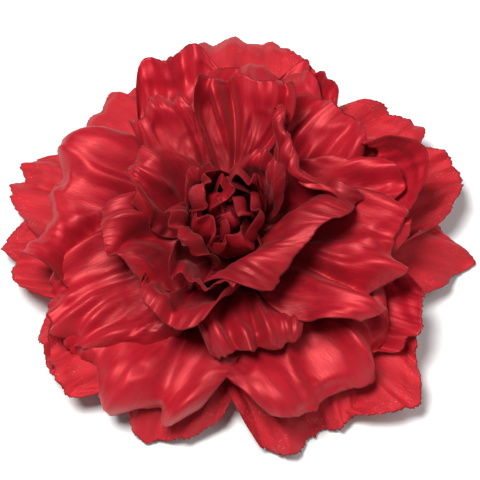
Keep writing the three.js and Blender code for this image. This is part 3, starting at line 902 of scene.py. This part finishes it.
class PEONY_OT_ruffle_petals(MakePetals, bpy.types.Operator):
    """Make the ruffled inner petals"""
    bl_idname = "peony.ruffle_petals"
    bl_label = "Ruffle petals"
    petals = RUFFLE_PETALS
    first_seed = 900


class PEONY_OT_inner_petals(MakePetals, bpy.types.Operator):
    """Make the upright inner petals"""
    bl_idname = "peony.inner_petals"
    bl_label = "Inner petals"
    petals = INNER_PETALS
    first_seed = 1100


class PEONY_OT_bud(MakePetals, bpy.types.Operator):
    """Make the rolled bud"""
    bl_idname = "peony.bud"
    bl_label = "Bud"
    petals = HEART_PETALS + BUD_PETALS
    fine = (43, 49)
    first_seed = 1300


def as_mesh(obj, name):
    """The evaluated object as a plain mesh, in a new object."""
    view = bpy.context.evaluated_depsgraph_get()
    mesh = bpy.data.meshes.new_from_object(obj.evaluated_get(view), depsgraph=view)
    bpy.data.objects.remove(obj)
    return link(name, mesh)


def grow_tree(name, inputs):
    """A Geometry Nodes tree with named inputs, and its input and output nodes."""
    tree = bpy.data.node_groups.new(name, "GeometryNodeTree")
    for title, kind in inputs:
        tree.interface.new_socket(title, in_out="INPUT", socket_type="NodeSocket" + kind)
    tree.interface.new_socket("Geometry", in_out="OUTPUT", socket_type="NodeSocketGeometry")
    return tree, tree.nodes.new("NodeGroupInput").outputs, tree.nodes.new("NodeGroupOutput").inputs


def finish_tree(tree, made, instances, material):
    solid = add(tree, "GeometryNodeRealizeInstances", {"Geometry": instances})
    smoothed = add(tree, "GeometryNodeSetShadeSmooth", {"Geometry": solid.outputs[0]})
    painted = add(tree, "GeometryNodeSetMaterial", {
        "Geometry": smoothed.outputs[0], "Material": material})
    tree.links.new(painted.outputs[0], made[0])


def run_tree(obj, tree, values, name):
    """Runs a tree on an object and keeps the result as a plain mesh."""
    modifier = obj.modifiers.new(tree.name, "NODES")
    modifier.node_group = tree
    for item in tree.interface.items_tree:
        if item.in_out == "INPUT" and item.name in values:
            modifier[item.identifier] = values[item.name]
    return as_mesh(obj, name)


def offset(tree, **axes):
    return add(tree, "ShaderNodeCombineXYZ", axes).outputs[0]


def thread_along(tree, start, middle, end, resolution, radius, sides):
    """A short bent thread between two points."""
    bend = add(tree, "GeometryNodeCurveQuadraticBezier", {
        "Resolution": resolution, "Start": start, "Middle": middle, "End": end})
    section = add(tree, "GeometryNodeCurvePrimitiveCircle", {"Radius": radius, "Resolution": sides})
    tube = add(tree, "GeometryNodeCurveToMesh", {
        "Curve": bend.outputs[0], "Profile Curve": section.outputs["Curve"], "Fill Caps": True})
    return tube.outputs[0]


def stitch_tree():
    """Running stitches round a circle: each one rises out of the cloth and dips back in."""
    tree, given, made = grow_tree("running stitches", [
        ("Geometry", "Geometry"), ("Radius", "Float"), ("Height", "Float"), ("Count", "Int"),
        ("Length", "Float"), ("Thread", "Float"), ("Material", "Material")])
    ring = add(tree, "GeometryNodeCurvePrimitiveCircle", {
        "Radius": given["Radius"], "Resolution": 128})
    spots = add(tree, "GeometryNodeCurveToPoints", {
        "Curve": ring.outputs["Curve"], "Count": given["Count"]}, mode="COUNT")
    face = add(tree, "FunctionNodeAlignRotationToVector", {"Vector": spots.outputs["Tangent"]},
               axis="X", pivot_axis="Z")
    half = combine(tree, "MULTIPLY", given["Length"], 0.5)
    dip = combine(tree, "MULTIPLY", given["Thread"], 0.6)
    start = offset(tree, X=combine(tree, "MULTIPLY", half, -1.0), Z=dip)
    top = offset(tree, Z=combine(tree, "MULTIPLY", given["Thread"], -1.0))
    radius = combine(tree, "MULTIPLY", given["Thread"], 0.5)
    stitch = thread_along(tree, start, top, offset(tree, X=half, Z=dip), 7, radius, 8)
    sewn = add(tree, "GeometryNodeInstanceOnPoints", {
        "Points": spots.outputs["Points"], "Instance": stitch, "Rotation": face.outputs[0]})
    placed = add(tree, "GeometryNodeTransform", {
        "Geometry": sewn.outputs[0], "Translation": offset(tree, Z=given["Height"])})
    finish_tree(tree, made, placed.outputs[0], given["Material"])
    return tree


def fibre_tree():
    """Short bent fibres that stand out of a surface."""
    tree, given, made = grow_tree("loose fibres", [
        ("Geometry", "Geometry"), ("Density", "Float"), ("Length", "Float"), ("Thread", "Float"),
        ("Seed", "Int"), ("Material", "Material")])
    spots = add(tree, "GeometryNodeDistributePointsOnFaces", {
        "Mesh": given["Geometry"], "Density": given["Density"], "Seed": given["Seed"]})
    middle = combine(tree, "MULTIPLY", given["Length"], 0.4)
    fibre = thread_along(tree, (0.0, 0.0, 0.0), offset(tree, Z=middle),
                         offset(tree, X=given["Length"], Z=middle), 3, given["Thread"], 3)
    spin = add(tree, "FunctionNodeRandomValue", {"Seed": 5}, data_type="FLOAT")
    for socket in spin.inputs:
        if socket.name == "Max" and socket.type == "VALUE":
            socket.default_value = 2 * math.pi
    turned = add(tree, "FunctionNodeRotateRotation", {
        "Rotation": spots.outputs["Rotation"], "Rotate By": offset(tree, Z=spin.outputs[1])},
        rotation_space="LOCAL")
    grown = add(tree, "GeometryNodeInstanceOnPoints", {
        "Points": spots.outputs["Points"], "Instance": fibre, "Rotation": turned.outputs[0]})
    finish_tree(tree, made, grown.outputs[0], given["Material"])
    return tree


def welded_copy(node_name, name):
    """A CAD node's shape as one joined skin, ready for rounding."""
    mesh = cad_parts[node_name].data.copy()
    skin = bmesh.new()
    skin.from_mesh(mesh)
    bmesh.ops.remove_doubles(skin, verts=skin.verts, dist=1e-6)
    bmesh.ops.dissolve_limit(skin, angle_limit=math.radians(1), verts=skin.verts, edges=skin.edges)
    bmesh.ops.recalc_face_normals(skin, faces=skin.faces)
    skin.to_mesh(mesh)
    skin.free()
    mesh.materials.clear()
    return link(name, mesh)


def paint(obj, material):
    obj.data.materials.clear()
    obj.data.materials.append(material)


def turned_mesh(name, profile, uneven, seed, segments=96):
    """A closed body of revolution from (radius, height) corners in mm, a little uneven."""
    profile = np.array(profile, float)
    angle = np.linspace(0, 2 * math.pi, segments, endpoint=False)[None, :]
    r, z = profile[1:-1, 0][:, None], profile[1:-1, 1][:, None]
    wobble = uneven * sine_noise(seed, r * np.cos(angle) / 7 + z / 5, r * np.sin(angle) / 7, 1.0)
    run = np.gradient(profile, axis=0)[1:-1]
    size = np.hypot(run[:, 0], run[:, 1])[:, None]
    r = r + wobble * run[:, 1][:, None] / size
    z = z - wobble * run[:, 0][:, None] / size
    ring = np.stack([r * np.cos(angle), r * np.sin(angle), z], axis=2).reshape(-1, 3)
    points = np.vstack([ring, [[0, 0, profile[0, 1]], [0, 0, profile[-1, 1]]]])
    rows = len(profile) - 2
    index = np.arange(rows * segments).reshape(rows, segments)
    after = np.roll(index, -1, axis=1)
    faces = np.stack([index[:-1], after[:-1], after[1:], index[1:]], axis=-1).reshape(-1, 4).tolist()
    faces += [(rows * segments, after[0, i], index[0, i]) for i in range(segments)]
    faces += [(rows * segments + 1, index[-1, i], after[-1, i]) for i in range(segments)]
    mesh = bpy.data.meshes.new(name)
    mesh.from_pydata((points * MM).tolist(), [], faces)
    mesh.validate()
    mesh.shade_smooth()
    return mesh


def felt_mesh(radius):
    """The die-cut felt disc, its cut edge slightly rounded."""
    low, high, r, soft = FELT_LOW[2] / MM, FELT_HIGH[2] / MM, radius / MM, 0.35
    underside = [(x, low) for x in (0, 2, 5, 9, 13, 17, 20, r - 1.2)]
    edge = [(r - soft, low), (r - 0.1, low + 0.12), (r, low + soft), (r, (low + high) / 2),
            (r, high - soft), (r - 0.1, high - 0.12), (r - soft, high)]
    upper = [(x, high) for x in (r - 1.2, 20, 17, 13, 9, 5, 2, 0)]
    return turned_mesh("felt_disc", underside + edge + upper, 0.06, 71)


def core_mesh():
    """The bud's core: a lumpy rolled plug of wadding."""
    low, high = (np.array(corner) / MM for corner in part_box("bud_core"))
    r = (high[0] - low[0]) / 2 - 0.35
    rise = high[2] - low[2]
    profile = [(0, low[2]), (1.5, low[2]), (r * 0.8, low[2] + 0.02), (r * 0.95, low[2] + 0.5)]
    for t in np.linspace(0.06, 0.62, 9):
        profile.append((r * (1 + 0.03 * math.sin(9 * t)), low[2] + rise * t))
    for a in np.linspace(0, 80, 9):
        height = 0.66 + 0.32 * math.sin(math.radians(a))
        profile.append((r * math.cos(math.radians(a)), low[2] + rise * height))
    profile.append((0, high[2] - 0.2))
    return turned_mesh("wadding_core", profile, 0.22, 83, 64)


STITCH_INSET = 0.0022      # metres, from the felt's edge to the row of stitches
FIBRE_LENGTH = 0.0007
FIBRE_RADIUS = 0.000025


class PEONY_OT_felt(bpy.types.Operator):
    """Make the felt backing with its stitches and loose fibres"""
    bl_idname = "peony.felt"
    bl_label = "Felt backing"

    def execute(self, context):
        clip = context.scene.peony_clip
        radius = (FELT_HIGH[0] - FELT_LOW[0]) / 2
        disc = link("felt_disc", felt_mesh(radius))
        paint(disc, felt_material("felt cloth"))
        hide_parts("felt_backing")
        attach(disc, FLOWER_BODY)
        stitches = run_tree(link("stitching", bpy.data.meshes.new("stitching")), stitch_tree(), {
            "Radius": radius - STITCH_INSET, "Height": FELT_LOW[2], "Count": clip.stitches,
            "Length": clip.stitch_length, "Thread": clip.thread_thickness,
            "Material": thread_material("thread"),
        }, "felt_stitches")
        area = math.pi * radius ** 2 * 2
        fuzz = run_tree(welded_copy("felt_backing", "fuzz"), fibre_tree(), {
            "Density": clip.fibres / area, "Length": FIBRE_LENGTH, "Thread": FIBRE_RADIUS, "Seed": 3,
            "Material": felt_material("felt cloth"),
        }, "felt_fuzz")
        for piece in (stitches, fuzz):
            if not len(piece.data.polygons):
                raise RuntimeError(piece.name + " came out empty")
            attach(piece, FLOWER_BODY)
        return {"FINISHED"}


class PEONY_OT_stem(bpy.types.Operator):
    """Finish the stem, its collars and the bud's core"""
    bl_idname = "peony.stem"
    bl_label = "Stem and core"

    def execute(self, context):
        for name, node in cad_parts.items():
            if name.startswith(("stem", "collar")):
                paint(node, plastic_material("stem plastic"))
        core = link("wadding_core", core_mesh())
        paint(core, felt_material("dyed wadding", 700.0, 0.5, 0.1))
        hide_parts("bud_core")
        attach(core, FLOWER_BODY)
        return {"FINISHED"}


# Millimetres: the spring's wire, its coil about the hinge pin and its two legs.
WIRE_RADIUS = 0.35
COIL_RADIUS = 1.6
COIL_PITCH = 1.0
COIL_TURNS = 3.5
COIL_STEPS = 10       # points in each turn
LEG = 12.0
LEG_RISE = 1.32       # of the lower leg, near the coil


def spring_route():
    """Middle line of the spring's wire: a leg under the arm, the coil, a leg along the handle."""
    pin_low, pin_high = (np.array(corner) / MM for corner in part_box("hinge_pin"))
    pin = (pin_low + pin_high) / 2
    half = COIL_PITCH * COIL_TURNS / 2
    spring_low, spring_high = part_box("torsion_spring")
    upper = spring_high[2] / MM - WIRE_RADIUS
    lower = spring_low[2] / MM + WIRE_RADIUS
    points = [(pin[0] - LEG, -half, upper), (pin[0] - LEG / 2, -half, upper)]
    for i in range(int(COIL_TURNS * COIL_STEPS) + 1):
        angle = math.pi / 2 - i * 2 * math.pi / COIL_STEPS
        points.append((pin[0] + COIL_RADIUS * math.cos(angle), -half + i * COIL_PITCH / COIL_STEPS,
                       pin[2] + COIL_RADIUS * math.sin(angle)))
    points += [(pin[0] - LEG * 0.6, half, lower + LEG_RISE), (pin[0] - LEG, half, lower)]
    return np.array(points), pin, half


class PEONY_OT_clip(bpy.types.Operator):
    """Make the sprung steel clip"""
    bl_idname = "peony.clip"
    bl_label = "Clip"

    def execute(self, context):
        clip = context.scene.peony_clip
        steel = steel_material("plated steel")
        for name, body in (("clip_upper_arm", FLOWER_BODY), ("clip_lower_jaw", JAW_BODY)):
            leaf = welded_copy(name, "steel_" + name)
            paint(leaf, steel)
            rounding = leaf.modifiers.new("rounding", "BEVEL")
            rounding.width = clip.edge_radius
            rounding.segments = 2
            rounding.limit_method = "ANGLE"
            rounding.angle_limit = math.radians(40)
            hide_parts(name)
            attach(leaf, body)
        paint(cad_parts["hinge_pin"], steel)

        route, pin, half = spring_route()
        curve = bpy.data.curves.new("wire", "CURVE")
        curve.dimensions = "3D"
        curve.bevel_depth = WIRE_RADIUS * MM
        curve.bevel_resolution = 3
        curve.resolution_u = 6
        curve.use_fill_caps = True
        spline = curve.splines.new("BEZIER")
        spline.bezier_points.add(len(route) - 1)
        for point, place in zip(spline.bezier_points, route):
            point.co = Vector(place) * MM
            point.handle_left_type = point.handle_right_type = "AUTO"
        spring = as_mesh(link("wire", curve), "steel_spring")
        spring.data.shade_smooth()
        paint(spring, steel)
        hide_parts("torsion_spring")
        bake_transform(spring)
        return {"FINISHED"}


def aim(obj, target):
    direction = Vector(target) - obj.location
    obj.rotation_euler = direction.to_track_quat("-Z", "Y").to_euler()


# The stage, in metres: each light's place, width and power in watts, then where things point.
LIGHTS = {"key light": ((-0.20, -0.02, 0.85), 0.34, 10.5), "fill light": ((0.5, -0.1, 0.7), 0.6, 1.6)}
LIGHT_TARGET = (0, 0, 0.03)
CAMERA_TARGET = (0.0035, 0.002, 0.020)
SENSOR_WIDTH = 36.0        # millimetres
SURROUND = 0.17            # strength of the light from all round
FLOOR_REACH = 3.0
FLOOR_GAP = 0.0005         # between the clip and the floor


def soft_light(name, place, size, power):
    lamp = bpy.data.lights.new(name, "AREA")
    lamp.shape = "DISK"
    lamp.size = size
    lamp.energy = power
    obj = link(name, lamp)
    obj.location = place
    aim(obj, LIGHT_TARGET)


class PEONY_OT_stage(bpy.types.Operator):
    """Set up the floor, the lights and the camera"""
    bl_idname = "peony.stage"
    bl_label = "Stage"

    def execute(self, context):
        stage = context.scene.peony_stage
        sides = ((-1, -1), (1, -1), (1, 1), (-1, 1))
        corners = [(x * FLOOR_REACH, y * FLOOR_REACH, 0) for x, y in sides]
        mesh = bpy.data.meshes.new("floor")
        mesh.from_pydata(corners, [], [(0, 1, 2, 3)])
        floor = link("floor", mesh)
        floor.location.z = CAD_BOX[0][2] - FLOOR_GAP
        material, _, shader = new_material("floor", 0.9)
        shader["Base Color"].default_value = (*stage.floor_colour, 1)
        paint(floor, material)

        target = Vector(CAMERA_TARGET)
        lens = bpy.data.cameras.new("camera")
        camera = link("camera", lens)
        lens.sensor_width = SENSOR_WIDTH
        lens.lens = SENSOR_WIDTH * stage.distance / stage.field
        camera.location = target + stage.distance * Vector(
            (0, -math.cos(stage.elevation), math.sin(stage.elevation)))
        aim(camera, target)
        context.scene.camera = camera
        context.scene.view_settings.view_transform = "Standard"

        for name, (place, width, power) in LIGHTS.items():
            soft_light(name, place, width, power)
        world = bpy.data.worlds.new("studio")
        context.scene.world = world
        world.use_nodes = True
        feed(world.node_tree, world.node_tree.nodes["Background"].inputs, {
            "Color": (1, 1, 1, 1), "Strength": SURROUND})
        return {"FINISHED"}


class PEONY_PT_panel(bpy.types.Panel):
    """The peony's settings and pieces"""
    bl_idname = "PEONY_PT_panel"
    bl_label = "Peony Clip"
    bl_space_type = "VIEW_3D"
    bl_region_type = "UI"
    bl_category = "Peony Clip"

    def draw(self, context):
        scene = context.scene
        for group in (scene.peony_flower, scene.peony_clip, scene.peony_stage):
            for key in group.bl_rna.properties.keys():
                if key not in ("rna_type", "name"):
                    self.layout.prop(group, key)
        for operator in OPERATORS:
            self.layout.operator(operator.bl_idname)


OPERATORS = (PEONY_OT_stage, PEONY_OT_bud, PEONY_OT_inner_petals, PEONY_OT_ruffle_petals,
             PEONY_OT_cup_petals, PEONY_OT_wide_petals, PEONY_OT_rear_petals, PEONY_OT_back_petals,
             PEONY_OT_stem, PEONY_OT_felt, PEONY_OT_clip)
CLASSES = (PeonyFlowerSettings, PeonyClipSettings, PeonyStageSettings, *OPERATORS, PEONY_PT_panel)


def register():
    for cls in CLASSES:
        bpy.utils.register_class(cls)
    bpy.types.Scene.peony_flower = bpy.props.PointerProperty(type=PeonyFlowerSettings)
    bpy.types.Scene.peony_clip = bpy.props.PointerProperty(type=PeonyClipSettings)
    bpy.types.Scene.peony_stage = bpy.props.PointerProperty(type=PeonyStageSettings)


def unregister():
    del bpy.types.Scene.peony_stage
    del bpy.types.Scene.peony_clip
    del bpy.types.Scene.peony_flower
    for cls in reversed(CLASSES):
        bpy.utils.unregister_class(cls)


def main():
    register()
    for operator in OPERATORS:
        group, name = operator.bl_idname.split(".")
        getattr(getattr(bpy.ops, group), name)()


if __name__ == "__main__":
    main()
